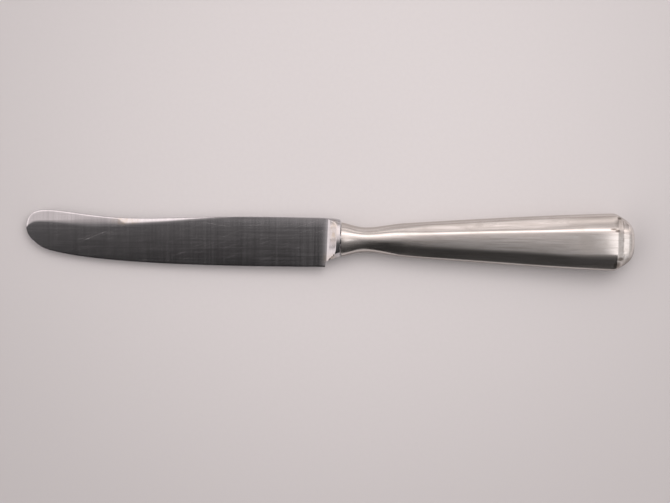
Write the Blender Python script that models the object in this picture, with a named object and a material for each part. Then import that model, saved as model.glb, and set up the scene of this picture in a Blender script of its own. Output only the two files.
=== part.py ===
"""Fruit knife with a hollow handle, lying on its side as it rests on a table.

The blade, its bolster and its tang are one forging. The handle is two stamped
half shells, soldered together along the narrow sides, and cement inside the
handle holds the tang.

Lengths are in metres. The pieces are modelled in the knife's own frame, whose
origin is on the knife's axis at the joint of bolster and handle: the blade
points to -X, the handle to +X, the spine faces +Y and the front +Z.
"""

import math

import bmesh
import bpy
from mathutils import Matrix, Vector

# Blade outline, seen from the front
BLADE_LENGTH = 0.0844
SPINE_HEIGHT = 0.00605
SPINE_STRAIGHT = 0.0204
SPINE_PULL = 0.0100
HOLLOW_HEIGHT = 0.00543
HOLLOW_FROM_TIP = 0.0310
HOLLOW_PULL = 0.0102
TIP_TOP_HEIGHT = 0.00762
TIP_TOP_FROM_TIP = 0.0055
TIP_TOP_PULL = 0.0064
TIP_CURL = 0.0030
NOSE_HEIGHT = 0.0026
NOSE_PULL_UP = 0.0043
NOSE_PULL_DOWN = 0.0022
BELLY_DEPTH = 0.0036
BELLY_FROM_TIP = 0.0063
BELLY_SLOPE = 0.277
BELLY_PULL_TIP = 0.0039
BELLY_PULL_HEEL = 0.0136
EDGE_DEPTH = 0.00785
EDGE_PULL = 0.0331
HEEL_LEAN = 0.00085
HEEL_NOTCH_DEPTH = 0.0058
OUTLINE_STEPS = 12

# Blade thickness and grinding
SPINE_THICKNESS = 0.0019
EDGE_THICKNESS = 0.0004
TIP_THINNING = 0.00022
RUNOUT_LENGTH = 0.0030
RUNOUT_RISE = 0.00027
SWAGE_ANGLE = math.radians(7.0)
SWAGE_HEIGHT = 0.0040
SWAGE_RUNOUT_LENGTH = 0.0210
SWAGE_RUNOUT_RISE = 0.00042
SWAGE_LENGTH = 0.0530
RUNOUT_STEPS = 8

# Bolster
BOLSTER_LENGTH = 0.0036
BOLSTER_WIDTH = 0.0108
BOLSTER_THICKNESS = 0.0070
BOLSTER_OFFSET = 0.0004
BAND_LENGTH = 0.00075
BOLSTER_SIDES = 48

# Tang
TANG_LENGTH = 0.0420
TANG_TIP_SHARE = 0.70
TANG_SIDES = 24
NOTCH_COUNT = 3
NOTCH_PITCH = 0.0060
NOTCH_FROM_END = 0.0080
NOTCH_DEPTH = 0.0005

# Handle, from the mouth at the bolster to the end
HANDLE_LENGTH = 0.0820
MOUTH_WIDTH = 0.0096
MOUTH_THICKNESS = 0.0066
MOUTH_FLARE = -0.20
NECK_STATION = 0.0070
NECK_WIDTH = 0.0071
NECK_THICKNESS = 0.0058
SHOULDER_STATION = 0.0180
SHOULDER_WIDTH = 0.0096
SHOULDER_THICKNESS = 0.0066
SHOULDER_SLOPE = 0.068
SHOULDER_PANEL = 0.0029
FACETS_STATION = 0.0200
BODY_WIDTH = 0.0159
BODY_THICKNESS = 0.0095
BODY_SLOPE = 0.035
BODY_PANEL = 0.0075
PANEL_FLAT_SHARE = 0.70
PANEL_CROWN = 0.00010
SIDE_SHARE = 0.17
CHAMFER_SHARE = 0.55
WALL = 0.0007

# Stepped end of the handle: distance from the end, setback at the narrow
# sides and setback at the broad faces, from the widest ring to the end face
CORNER_RING = (0.0062, 0.0, 0.0)
RIM_RING = (0.0044, 0.0006, 0.00035)
GROOVE_RING = (0.0034, 0.0014, 0.00100)
CAP_RING = (0.0030, 0.00145, 0.00095)
CAP_EDGE_RING = (0.0015, 0.0026, 0.00125)
CAP_ROUND_RING = (0.0006, 0.00385, 0.00200)
END_RING = (0.0, 0.00535, 0.00315)

# Joints between the pieces
JOINT_GAP = 0.0003
CEMENT_GAP = 0.0003
CEMENT_COVER = 0.0006
CEMENT_FROM_END = 0.0120
SOLDER_THICKNESS = 0.0003
SOLDER_GAP = 0.00005

# How finely the handle's sections are spaced and its narrow sides rounded
MOUTH_RINGS = 5
NECK_RINGS = 8
BODY_RINGS = 6
SIDE_STEPS = 4

# Reach of the cutting shapes past the material they cut, and how meshes are finished
CUTTER_REACH = 0.030
WELD_DISTANCE = 1e-7
SHARP_ANGLE = math.radians(30.0)

HEEL_STATION = -BOLSTER_LENGTH
TIP_STATION = HEEL_STATION - BLADE_LENGTH
CORNER_STATION = HANDLE_LENGTH - CORNER_RING[0]


def clear_scene():
    for thing in list(bpy.data.objects):
        bpy.data.objects.remove(thing)


def make_collection(name):
    collection = bpy.data.collections.new(name)
    bpy.context.scene.collection.children.link(collection)
    return collection


def make_material(name, colour, roughness, metallic):
    material = bpy.data.materials.new(name)
    material.use_nodes = True
    shader = material.node_tree.nodes["Principled BSDF"]
    shader.inputs["Base Color"].default_value = (*colour, 1.0)
    shader.inputs["Roughness"].default_value = roughness
    shader.inputs["Metallic"].default_value = metallic
    return material


def mesh_from(bm, name):
    """Turn a bmesh into a mesh whose faces point out, with round parts smooth."""
    bmesh.ops.recalc_face_normals(bm, faces=bm.faces)
    mesh = bpy.data.meshes.new(name)
    bm.to_mesh(mesh)
    bm.free()
    mesh.shade_smooth()
    mesh.set_sharp_from_angle(angle=SHARP_ANGLE)
    return mesh


def flat_outline(name, knots, half_depth, steps):
    """Fill a closed outline of (point, handle before, handle after) and give it depth."""
    curve = bpy.data.curves.new(name, "CURVE")
    curve.dimensions = "2D"
    curve.fill_mode = "BOTH"
    curve.extrude = half_depth
    curve.resolution_u = steps
    spline = curve.splines.new("BEZIER")
    spline.bezier_points.add(len(knots) - 1)
    spline.use_cyclic_u = True
    for bezier, (point, before, after) in zip(spline.bezier_points, knots):
        bezier.co = (*point, 0.0)
        bezier.handle_left = (*before, 0.0)
        bezier.handle_right = (*after, 0.0)
    return mesh_of_curve(curve, name)


def mesh_of_curve(curve, name):
    holder = bpy.data.objects.new(name, curve)
    bpy.context.scene.collection.objects.link(holder)
    depsgraph = bpy.context.evaluated_depsgraph_get()
    drawn = bpy.data.meshes.new_from_object(holder.evaluated_get(depsgraph))
    bpy.data.objects.remove(holder)
    bm = bmesh.new()
    bm.from_mesh(drawn)
    bpy.data.meshes.remove(drawn)
    bmesh.ops.remove_doubles(bm, verts=bm.verts, dist=WELD_DISTANCE)
    return mesh_from(bm, name)


def corner(x, y):
    """A knot with no curve on either side."""
    return (x, y), (x, y), (x, y)


def smooth_knot(x, y, along, before, after):
    """A knot that the outline passes in the direction along, with handle lengths."""
    step = Vector(along).normalized()
    point = Vector((x, y))
    return tuple(point), tuple(point - before * step), tuple(point + after * step)


def loft(name, rings):
    """Skin a row of rings with equal point counts and close both ends."""
    bm = bmesh.new()
    loops = [[bm.verts.new(point) for point in ring] for ring in rings]
    for near, far in zip(loops, loops[1:]):
        for i, vert in enumerate(near):
            bm.faces.new((near[i - 1], vert, far[i], far[i - 1]))
    bm.faces.new(loops[0])
    bm.faces.new(loops[-1])
    return mesh_from(bm, name)


def oval_bar(name, start, end, start_size, end_size, sides):
    """A bar along X, with an oval section of (width, thickness) at each end."""
    bm = bmesh.new()
    length = end - start
    bmesh.ops.create_cone(bm, cap_ends=True, segments=sides, radius1=0.5, radius2=0.5, depth=length)
    bmesh.ops.rotate(bm, verts=bm.verts, matrix=Matrix.Rotation(math.pi / 2, 3, "Y"))
    bmesh.ops.translate(bm, verts=bm.verts, vec=((start + end) / 2, 0.0, 0.0))
    for vert in bm.verts:
        share = (vert.co.x - start) / length
        vert.co.y *= start_size[0] + share * (end_size[0] - start_size[0])
        vert.co.z *= start_size[1] + share * (end_size[1] - start_size[1])
    return mesh_from(bm, name)


def box(name, low, high):
    bm = bmesh.new()
    bmesh.ops.create_cube(bm, size=1.0)
    low = Vector(low)
    high = Vector(high)
    bmesh.ops.scale(bm, verts=bm.verts, vec=high - low)
    bmesh.ops.translate(bm, verts=bm.verts, vec=(low + high) / 2)
    return mesh_from(bm, name)


def place(mesh, name, collection, axis):
    thing = bpy.data.objects.new(name, mesh)
    collection.objects.link(thing)
    thing.parent = axis
    return thing


def place_cutter(mesh, name, collection, axis):
    cutter = place(mesh, name, collection, axis)
    cutter.hide_render = True
    cutter.display_type = "WIRE"
    return cutter


def combine(target, operation, other):
    modifier = target.modifiers.new(f"{operation.lower()} {other.name}", "BOOLEAN")
    modifier.operation = operation
    modifier.solver = "EXACT"
    modifier.object = other


def hermite(x, start, end):
    """Height at x of the cubic between two (station, height, slope) knots."""
    length = end[0] - start[0]
    u = (x - start[0]) / length
    rise = u * u * (3.0 - 2.0 * u)
    bend = length * (u * (1.0 - u) ** 2 * start[2] - u * u * (1.0 - u) * end[2])
    return start[1] + rise * (end[1] - start[1]) + bend


def through(x, knots):
    """Height at x of the smooth line through a row of knots."""
    for start, end in zip(knots, knots[1:]):
        if x <= end[0]:
            break
    return hermite(x, start, end)


def spread(start, end, count):
    """Stations from start towards end in equal steps, without the end itself."""
    return [start + (end - start) * i / count for i in range(count)]


def blade_blank():
    """Plate of the blade's outline, as forged, reaching into the bolster."""
    root = -BOLSTER_LENGTH / 4
    knots = [
        corner(root, SPINE_HEIGHT - BOLSTER_OFFSET),
        corner(HEEL_STATION, SPINE_HEIGHT),
        smooth_knot(HEEL_STATION - SPINE_STRAIGHT, SPINE_HEIGHT, (-1, 0), 0.0, SPINE_PULL),
        smooth_knot(TIP_STATION + HOLLOW_FROM_TIP, HOLLOW_HEIGHT, (-1, 0), HOLLOW_PULL, HOLLOW_PULL),
        smooth_knot(TIP_STATION + TIP_TOP_FROM_TIP, TIP_TOP_HEIGHT, (-1, 0), TIP_TOP_PULL, TIP_CURL),
        smooth_knot(TIP_STATION, NOSE_HEIGHT, (0, -1), NOSE_PULL_UP, NOSE_PULL_DOWN),
        smooth_knot(
            TIP_STATION + BELLY_FROM_TIP, -BELLY_DEPTH, (1, -BELLY_SLOPE), BELLY_PULL_TIP, BELLY_PULL_HEEL
        ),
        smooth_knot(HEEL_STATION - HEEL_LEAN, -EDGE_DEPTH, (1, 0), EDGE_PULL, 0.0),
        corner(HEEL_STATION, -HEEL_NOTCH_DEPTH),
        corner(root, BOLSTER_OFFSET - BOLSTER_WIDTH / 2 + JOINT_GAP),
    ]
    half_thickness = SPINE_THICKNESS / 2 + RUNOUT_RISE
    return flat_outline("blade blank", knots, half_thickness, OUTLINE_STEPS)


def shoulder_run():
    """Length of the bolster's sloped shoulder along the knife."""
    return BOLSTER_LENGTH - BAND_LENGTH


def shoulder_rise():
    """Height of the shoulder, from the flat of the blade at the spine to the band."""
    return (BOLSTER_THICKNESS - SPINE_THICKNESS) / 2


def grinding_shape(name, runout_length, runout_rise, side):
    """What a wheel takes off: a plane along -X that curves up and ends in a sloped wall at the origin."""
    top = CUTTER_REACH
    far = -BLADE_LENGTH - CUTTER_REACH
    wall_run = top * shoulder_run() / shoulder_rise()
    knots = [corner(far, 0.0)]
    for x in spread(-runout_length, 0.0, RUNOUT_STEPS) + [0.0]:
        share = 1.0 + x / runout_length
        knots.append(corner(x, runout_rise * share * share))
    knots.append(corner(wall_run, runout_rise + top))
    knots.append(corner(far, runout_rise + top))
    mesh = flat_outline(name, knots, CUTTER_REACH, 1)
    mesh.transform(Matrix.Rotation(math.pi / 2, 4, "X"))
    if side < 0:
        mesh.transform(Matrix.Scale(-1.0, 4, (0.0, 0.0, 1.0)))
        mesh.flip_normals()
    return mesh


def wedge_slope():
    """How steeply each flat of the blade rises from the edge to the spine."""
    return (SPINE_THICKNESS - EDGE_THICKNESS) / 2 / (SPINE_HEIGHT + EDGE_DEPTH)


def place_grind(collection, axis, side):
    """Cutter for one flat of the blade and one shoulder of the bolster."""
    mesh = grinding_shape("flat grind", RUNOUT_LENGTH, RUNOUT_RISE, side)
    cutter = place_cutter(mesh, "flat_grind", collection, axis)
    wedge = math.atan(wedge_slope())
    taper = math.atan2(TIP_THINNING, BLADE_LENGTH)
    lean = math.atan2(HEEL_LEAN, SPINE_HEIGHT + EDGE_DEPTH)
    cutter.location = (HEEL_STATION, SPINE_HEIGHT, side * SPINE_THICKNESS / 2)
    cutter.rotation_euler = (side * wedge, -side * taper, -lean)
    return cutter


def place_swage(collection, axis, side):
    """Cutter for the bevel that thins one side of the spine towards the tip."""
    mesh = grinding_shape("swage grind", SWAGE_RUNOUT_LENGTH, SWAGE_RUNOUT_RISE, side)
    cutter = place_cutter(mesh, "swage_grind", collection, axis)
    thinned = wedge_slope() * (SPINE_HEIGHT - SWAGE_HEIGHT)
    thinned += TIP_THINNING * (1.0 - SWAGE_LENGTH / BLADE_LENGTH)
    cutter.location = (TIP_STATION + SWAGE_LENGTH, SWAGE_HEIGHT, side * (SPINE_THICKNESS / 2 - thinned))
    cutter.rotation_euler = (-side * SWAGE_ANGLE, -side * math.atan2(TIP_THINNING, BLADE_LENGTH), 0.0)
    return cutter


def tang_size():
    """Width and thickness of the tang's root: the neck's bore less the cement around it."""
    margin = 2 * (WALL + CEMENT_GAP + CEMENT_COVER + CEMENT_GAP)
    return NECK_WIDTH - margin, NECK_THICKNESS - margin


def tang_bar(name, grow):
    """The tang as an oval tapered bar, from inside the bolster, grown on every side."""
    width, thickness = tang_size()
    root = (width + 2 * grow, thickness + 2 * grow)
    tip = (width * TANG_TIP_SHARE + 2 * grow, thickness * TANG_TIP_SHARE + 2 * grow)
    return oval_bar(name, -BOLSTER_LENGTH / 2, TANG_LENGTH + grow, root, tip, TANG_SIDES)


def place_notches(collection, axis):
    """Cutter for the notches in both edges of the tang, which key it into the cement."""
    bm = bmesh.new()
    root, _ = tang_size()
    for i in range(NOTCH_COUNT):
        station = TANG_LENGTH - NOTCH_FROM_END - i * NOTCH_PITCH
        share = (station + BOLSTER_LENGTH / 2) / (TANG_LENGTH + BOLSTER_LENGTH / 2)
        half_width = root * (1.0 + share * (TANG_TIP_SHARE - 1.0)) / 2
        for side in (-1, 1):
            cube = bmesh.ops.create_cube(bm, size=NOTCH_DEPTH * math.sqrt(2))["verts"]
            bmesh.ops.scale(bm, verts=cube, vec=(1.0, 1.0, CUTTER_REACH / NOTCH_DEPTH))
            bmesh.ops.rotate(bm, verts=cube, matrix=Matrix.Rotation(math.pi / 4, 3, "Z"))
            bmesh.ops.translate(bm, verts=cube, vec=(station, side * half_width, 0.0))
    return place_cutter(mesh_from(bm, "tang notches"), "tang_notches", collection, axis)


def make_blade(parts, cutters, axis, material):
    """Forge the blade from blank, bolster and tang, then grind both sides."""
    blade = place(blade_blank(), "blade", parts, axis)
    band_size = (BOLSTER_WIDTH, BOLSTER_THICKNESS)
    band = oval_bar("bolster band", HEEL_STATION, 0.0, band_size, band_size, BOLSTER_SIDES)
    band.transform(Matrix.Translation((0.0, BOLSTER_OFFSET, 0.0)))
    combine(blade, "UNION", place_cutter(band, "bolster_band", cutters, axis))
    combine(blade, "UNION", place_cutter(tang_bar("tang", 0.0), "tang_bar", cutters, axis))
    combine(blade, "DIFFERENCE", place_notches(cutters, axis))
    for side in (1, -1):
        combine(blade, "DIFFERENCE", place_grind(cutters, axis, side))
        combine(blade, "DIFFERENCE", place_swage(cutters, axis, side))
    blade.data.materials.append(material)


def body_ring(station, inset):
    """Section of the handle's body: oval at mouth and neck, faceted along the body."""
    panel_slope = (BODY_THICKNESS - SHOULDER_THICKNESS) / 2 / (CORNER_STATION - SHOULDER_STATION)
    widths = [
        (JOINT_GAP, MOUTH_WIDTH / 2, MOUTH_FLARE),
        (NECK_STATION, NECK_WIDTH / 2, 0.0),
        (SHOULDER_STATION, SHOULDER_WIDTH / 2, SHOULDER_SLOPE),
        (CORNER_STATION, BODY_WIDTH / 2, BODY_SLOPE),
    ]
    thicknesses = [
        (JOINT_GAP, MOUTH_THICKNESS / 2, MOUTH_FLARE / 2),
        (NECK_STATION, NECK_THICKNESS / 2, 0.0),
        (SHOULDER_STATION, SHOULDER_THICKNESS / 2, panel_slope),
        (CORNER_STATION, BODY_THICKNESS / 2, panel_slope),
    ]
    along = (station - SHOULDER_STATION) / (CORNER_STATION - SHOULDER_STATION)
    panel = (SHOULDER_PANEL + along * (BODY_PANEL - SHOULDER_PANEL)) / 2
    ramp = (station - NECK_STATION) / (FACETS_STATION - NECK_STATION)
    ramp = min(max(ramp, 0.0), 1.0)
    facets = ramp * ramp * (3.0 - 2.0 * ramp)
    return section_ring(station, through(station, widths), through(station, thicknesses), panel, facets, inset)


def end_ring(ring, shift, inset):
    """Section of the stepped end of the handle."""
    from_end, side_setback, face_setback = ring
    half_width = BODY_WIDTH / 2 - side_setback
    half_thickness = BODY_THICKNESS / 2 - face_setback
    panel = half_width * BODY_PANEL / BODY_WIDTH
    return section_ring(HANDLE_LENGTH - from_end - shift, half_width, half_thickness, panel, 1.0, inset)


def section_ring(station, half_width, half_thickness, panel, facets, inset):
    """Points round one section, blended from an oval (facets 0) to flats and chamfers (facets 1)."""
    panel *= (half_width - inset) / half_width
    half_width -= inset
    half_thickness -= inset
    faceted = faceted_quarter(half_width, half_thickness, panel)
    quarter = []
    for i, (y, z) in enumerate(faceted):
        angle = math.pi / 2 * i / (len(faceted) - 1)
        oval_y = half_width * math.sin(angle)
        oval_z = half_thickness * math.cos(angle)
        quarter.append((oval_y + facets * (y - oval_y), oval_z + facets * (z - oval_z)))
    back = [(y, -z) for y, z in quarter[-2::-1]]
    right = quarter + back
    left = [(-y, z) for y, z in right[-2:0:-1]]
    return [(station, y, z) for y, z in right + left]


def faceted_quarter(half_width, half_thickness, panel):
    """From the middle of the flat panel over the chamfer to the rounded narrow side."""
    ridge = Vector((panel, half_thickness - PANEL_CROWN))
    side = Vector((half_width, half_thickness * SIDE_SHARE))
    seam = Vector((half_width, 0.0))
    turn = ridge.lerp(side, CHAMFER_SHARE)
    points = [(0.0, half_thickness), (panel * PANEL_FLAT_SHARE, half_thickness), tuple(ridge)]
    for share in spread(0.0, 1.0, SIDE_STEPS) + [1.0]:
        points.append(tuple(turn.lerp(side, share).lerp(side.lerp(seam, share), share)))
    return points


def body_stations(start, end):
    """Stations from start to end, closest where the handle changes its section."""
    inner = spread(JOINT_GAP, NECK_STATION, MOUTH_RINGS)
    inner += spread(NECK_STATION, FACETS_STATION, NECK_RINGS)
    inner += spread(FACETS_STATION, CORNER_STATION, BODY_RINGS)
    return [start] + [x for x in inner if start < x < end] + [end]


def handle_outside():
    rings = [body_ring(x, 0.0) for x in body_stations(JOINT_GAP, CORNER_STATION)]
    rings += [end_ring(ring, 0.0, 0.0) for ring in stepped_end()]
    return loft("handle outside", rings)


def handle_inside():
    """The hollow, with the wall left around it, running out through the mouth."""
    rings = [body_ring(x, WALL) for x in body_stations(JOINT_GAP, CORNER_STATION - WALL)]
    rings += [end_ring(ring, WALL, WALL) for ring in stepped_end()]
    mouth = [(x - CUTTER_REACH, y, z) for x, y, z in rings[0]]
    return loft("handle inside", [mouth] + rings)


def stepped_end():
    return RIM_RING, GROOVE_RING, CAP_RING, CAP_EDGE_RING, CAP_ROUND_RING, END_RING


def make_handle(parts, cutters, axis, plate, solder):
    """Split one hollow handle into its half shells and the strip of solder between them."""
    outside = handle_outside()
    hollow = place_cutter(handle_inside(), "handle_hollow", cutters, axis)
    far = HANDLE_LENGTH + CUTTER_REACH
    reach = CUTTER_REACH
    seam = SOLDER_THICKNESS / 2
    face = seam + SOLDER_GAP
    slices = [
        ("handle_front_half", (-reach, -reach, face), (far, reach, reach), plate),
        ("handle_back_half", (-reach, -reach, -reach), (far, reach, -face), plate),
        ("seam_solder", (-reach, -reach, -seam), (far, reach, seam), solder),
    ]
    for name, low, high, material in slices:
        piece = place(outside.copy(), name, parts, axis)
        piece.data.materials.append(material)
        combine(piece, "DIFFERENCE", hollow)
        combine(piece, "INTERSECT", place_cutter(box(name, low, high), f"{name}_slice", cutters, axis))


def make_cement(parts, cutters, axis, material):
    """Cast the cement against the hollow, around the tang."""
    inset = WALL + CEMENT_GAP
    stations = body_stations(JOINT_GAP + CEMENT_GAP, HANDLE_LENGTH - CEMENT_FROM_END)
    cement = place(loft("cement", [body_ring(x, inset) for x in stations]), "handle_cement", parts, axis)
    cement.data.materials.append(material)
    combine(cement, "DIFFERENCE", place_cutter(tang_bar("socket", CEMENT_GAP), "tang_socket", cutters, axis))


def resting_axis():
    """An empty on the knife's axis, tipped so that bolster and handle end both touch the ground."""
    bolster_foot = Vector((-BAND_LENGTH, 0.0, -BOLSTER_THICKNESS / 2))
    handle_foot = Vector((CORNER_STATION, 0.0, -BODY_THICKNESS / 2))
    between = handle_foot - bolster_foot
    tip_down = Matrix.Rotation(math.atan2(between.z, between.x), 4, "Y")
    axis = bpy.data.objects.new("knife_axis", None)
    middle = (TIP_STATION + HANDLE_LENGTH) / 2
    axis.matrix_world = Matrix.Translation((-middle, 0.0, -(tip_down @ handle_foot).z)) @ tip_down
    return axis


def build_knife():
    clear_scene()
    parts = make_collection("fruit_knife")
    cutters = make_collection("fruit_knife_cutters")
    axis = resting_axis()
    parts.objects.link(axis)
    steel = make_material("stainless steel", (0.50, 0.49, 0.48), 0.24, 1.0)
    plate = make_material("silver plate", (0.88, 0.85, 0.80), 0.20, 1.0)
    solder = make_material("silver solder", (0.80, 0.77, 0.70), 0.30, 1.0)
    cement = make_material("cement", (0.46, 0.40, 0.33), 0.90, 0.0)
    make_blade(parts, cutters, axis, steel)
    make_handle(parts, cutters, axis, plate, solder)
    make_cement(parts, cutters, axis, cement)


build_knife()
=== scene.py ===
# %% [markdown]
# # A fruit knife with a hollow handle
# The knife lies on a pale table, seen from straight above. Its blade, bolster and tang are
# one steel forging. Its handle is two silver-plated half shells, soldered along the narrow
# sides and filled with cement.

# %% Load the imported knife
import math

import bmesh
import bpy
from mathutils import Matrix, Vector


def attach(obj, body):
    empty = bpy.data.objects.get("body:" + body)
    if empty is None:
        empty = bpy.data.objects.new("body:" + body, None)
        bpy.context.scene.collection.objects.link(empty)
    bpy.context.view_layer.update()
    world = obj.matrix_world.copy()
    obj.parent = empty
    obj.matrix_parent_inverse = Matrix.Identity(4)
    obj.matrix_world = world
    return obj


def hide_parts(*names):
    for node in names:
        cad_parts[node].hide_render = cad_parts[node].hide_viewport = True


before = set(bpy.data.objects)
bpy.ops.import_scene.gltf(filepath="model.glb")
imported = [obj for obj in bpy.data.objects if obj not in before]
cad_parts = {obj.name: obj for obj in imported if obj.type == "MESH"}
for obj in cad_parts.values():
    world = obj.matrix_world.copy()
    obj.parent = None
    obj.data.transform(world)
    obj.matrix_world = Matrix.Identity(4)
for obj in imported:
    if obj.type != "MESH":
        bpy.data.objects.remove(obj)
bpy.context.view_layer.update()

print("solids:", sorted(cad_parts))

# %% [markdown]
# ## One frame for all pieces
# A knife is drawn most easily along its own axis: the joint of bolster and handle is at zero,
# the blade points to -X, the handle to +X and the spine to +Y. Lengths are in millimetres.
# On the table the knife rests on the bolster and on the thick end of the handle, so its axis
# tips a little. One matrix does both steps at the end: it lays the knife down and turns
# millimetres into metres.

# %% Lay the knife on the table
MILLIMETRE = 0.001
TIP = -88.0
HEEL = -3.34
HANDLE_END = 82.0
BAND_START = -0.75
BOLSTER_HEIGHT = 3.5
THICKEST_STATION = 75.7
THICKEST_HEIGHT = 4.75

bolster_foot = Vector((BAND_START, 0.0, -BOLSTER_HEIGHT))
handle_foot = Vector((THICKEST_STATION, 0.0, -THICKEST_HEIGHT))
between = handle_foot - bolster_foot
tip_down = Matrix.Rotation(math.atan2(between.z, between.x), 4, "Y")
middle = (TIP + HANDLE_END) / 2
lift = -(tip_down @ handle_foot).z
lay_down = Matrix.Scale(MILLIMETRE, 4) @ Matrix.Translation((-middle, 0.0, lift)) @ tip_down
print("axis tips by", round(math.degrees(math.atan2(-between.z, between.x)), 2), "degrees")

# %% [markdown]
# ## Striking a sheet
# The handle shells were stamped from flat sheet, and the blade was drawn out under a hammer.
# Both can be made the same way here: a flat grid is the blank, and each of its rows is moved
# to a section of the finished piece. The grid keeps the faces even, so that a mirror-bright
# surface shows no dents. Loose vertices with hand-made faces would give the same shape, but
# the grid operator can't leave a face out.

# %% Sheets and smooth lines
WELD = 0.0004


def strike(rows):
    """Move the rows of a flat grid onto the sections of a piece."""
    bm = bmesh.new()
    along, across = len(rows) - 1, len(rows[0]) - 1
    bmesh.ops.create_grid(bm, x_segments=along, y_segments=across, size=1.0)
    for vert in bm.verts:
        row = round((vert.co.x + 1.0) / 2.0 * along)
        place = round((vert.co.y + 1.0) / 2.0 * across)
        vert.co = rows[row][place]
    return bm


def clamp(value, low, high):
    return max(low, min(high, value))


def ease(value, low, high):
    """0 below low, 1 above high, and a smooth step between them."""
    share = clamp((value - low) / (high - low), 0.0, 1.0)
    return share * share * (3.0 - 2.0 * share)


def steps(start, end, count):
    """Stations from start to end, without the end itself."""
    return [start + (end - start) * i / count for i in range(count)]


def through(x, knots):
    """Height at x of a smooth line through (station, height, slope) knots."""
    for start, end in zip(knots, knots[1:]):
        if x <= end[0]:
            break
    length = end[0] - start[0]
    u = (x - start[0]) / length
    rise = u * u * (3.0 - 2.0 * u)
    bend = length * (u * (1.0 - u) ** 2 * start[2] - u * u * (1.0 - u) * end[2])
    return start[1] + rise * (end[1] - start[1]) + bend


def lower_of(a, b, soft):
    """The lower of two heights, rounded where they cross."""
    near = max(soft - abs(a - b), 0.0) / soft
    return min(a, b) - near * near * soft / 4.0


small_blank = strike([[(i, j, 0) for j in range(4)] for i in range(3)])
print("a flat blank of 2 x 3 squares has", len(small_blank.faces), "faces")
small_blank.free()

# %% [markdown]
# ## The outline of the blade
# The spine dips and then rises to a rounded tip, and the cutting edge sweeps up to meet it.
# A draughtsman would set French curves end to end, and Bezier runs are the same thing. The
# blade is built section by section, so a small search finds the height of a run at a station.

# %% Spine and edge lines
SPINE_RUNS = [
    [(-88.0, 2.5), (-88.0, 6.8), (-85.5, 7.6), (-82.5, 7.6)],
    [(-82.5, 7.6), (-77.0, 7.6), (-68.2, 5.5), (-57.0, 5.5)],
    [(-57.0, 5.5), (-48.0, 5.5), (-37.0, 6.22), (-26.0, 6.22)],
    [(-26.0, 6.22), (-18.0, 6.22), (-9.0, 6.22), (-3.6, 6.05)],
    [(-3.6, 6.05), (-2.4, 6.03), (-1.4, 5.93), (0.0, 5.62)],
]
EDGE_RUNS = [
    [(-88.0, 2.5), (-88.0, 0.4), (-85.46, -2.64), (-81.7, -3.68)],
    [(-81.7, -3.68), (-68.59, -7.31), (-37.55, -7.9), (-4.22, -7.78)],
    [(-4.22, -7.78), (-4.18, -7.78), (-4.1, -7.0), (-3.98, -6.5)],
    [(-3.98, -6.5), (-3.8, -6.05), (-3.1, -5.8), (-2.6, -5.6)],
    [(-2.6, -5.6), (-1.9, -5.3), (-1.0, -4.95), (0.0, -4.8)],
]
SEARCH_TURNS = 40


def on_run(run, t):
    a, b, c, d = (Vector(point) for point in run)
    return a.lerp(b, t).lerp(b.lerp(c, t), t).lerp(b.lerp(c, t).lerp(c.lerp(d, t), t), t)


def height_on(runs, x):
    """Height of a row of Bezier runs at station x."""
    run = next((run for run in runs if x <= run[3][0]), runs[-1])
    low, high = 0.0, 1.0
    for _ in range(SEARCH_TURNS):
        half = (low + high) / 2.0
        if on_run(run, half).x < x:
            low = half
        else:
            high = half
    return on_run(run, high).y


MID_BLADE = -45.0
mid_height = height_on(SPINE_RUNS, MID_BLADE) - height_on(EDGE_RUNS, MID_BLADE)
print("blade height at mid length:", round(mid_height, 2), "mm")

# %% [markdown]
# ## The thickness of the blade
# Each flat is ground as a long wedge, nearly 2 mm thick at the spine and thin at the edge, and
# bellied by a tenth of a millimetre as hand grinding leaves it. A swage, a second bevel, thins
# the spine towards the tip. Near the heel the wheel runs out in a hollow, and the bolster's
# shoulder climbs from there to an oval band. A rounded rim closes front and back at the
# outline. Heights over the flat outline say all of this, and the lower of two heights gives
# each crease.

# %% Heights over the blade's outline
SPINE_HEIGHT = 6.05
EDGE_HEIGHT = -7.85
SPINE_HALF = 0.95
EDGE_HALF = 0.20
BELLY = 0.12
TIP_THINNING = 0.22
SWAGE_LINE = [
    (-88.0, 2.95, 0.85),
    (-85.7, 4.30, 0.22),
    (-82.3, 4.46, 0.0),
    (-73.8, 4.20, 0.0),
    (-65.2, 4.24, -0.02),
    (-60.5, 4.00, 0.03),
    (-56.0, 4.25, 0.06),
    (-44.8, 5.05, 0.09),
    (-35.0, 5.95, 0.10),
    (-28.0, 6.60, 0.08),
    (0.0, 6.70, 0.0),
]
SWAGE_SLOPE = 0.165
SPINE_BEVEL_SLOPE = 0.31
SPINE_BEVEL_WIDTH = 0.38
BEVEL_WIDENS, BEVEL_WIDE = -62.5, -60.2
NOSE_END = -78.0
NOSE_POINTS = 60
SWAGE_SOFTS = [
    (-88.0, 0.06, 0.0),
    (-78.0, 0.11, 0.012),
    (-68.5, 0.28, 0.0),
    (-64.0, 0.20, -0.01),
    (-58.0, 0.13, 0.0),
    (-46.0, 0.09, 0.0),
    (0.0, 0.07, 0.0),
]
RUNOUT_LENGTH = 3.6
RUNOUT_SLOPE = 0.09
RUNOUT_HOLLOW = 0.032
HEEL_LEAN = 0.48
LIP_LENGTH = 0.5
LIP_SLOPE = 0.58
SHOULDER_LENGTH = 2.56
SHOULDER_NARROWS = 0.15
CREASE_SOFT = 0.12
RIM_ROUND = 0.10
BAND_FULLNESS = 5.0
SHOULDER_ROUND = 0.8
UNDERSIDE_SOFT = 0.03
UNDERSIDE_FOOT = 1.0
UNDERSIDE_SLOPE = 1.25
BAND_CREST = -1.0
BAND_SLOPE = 0.35
BAND_SOFT = 1.7
ROLL_START = 3.0
ROLL, HEEL_ROLL = 0.005, 0.006
HEEL_ROLL_STARTS, HEEL_ROLL_FULL = -28.0, -8.0

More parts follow.
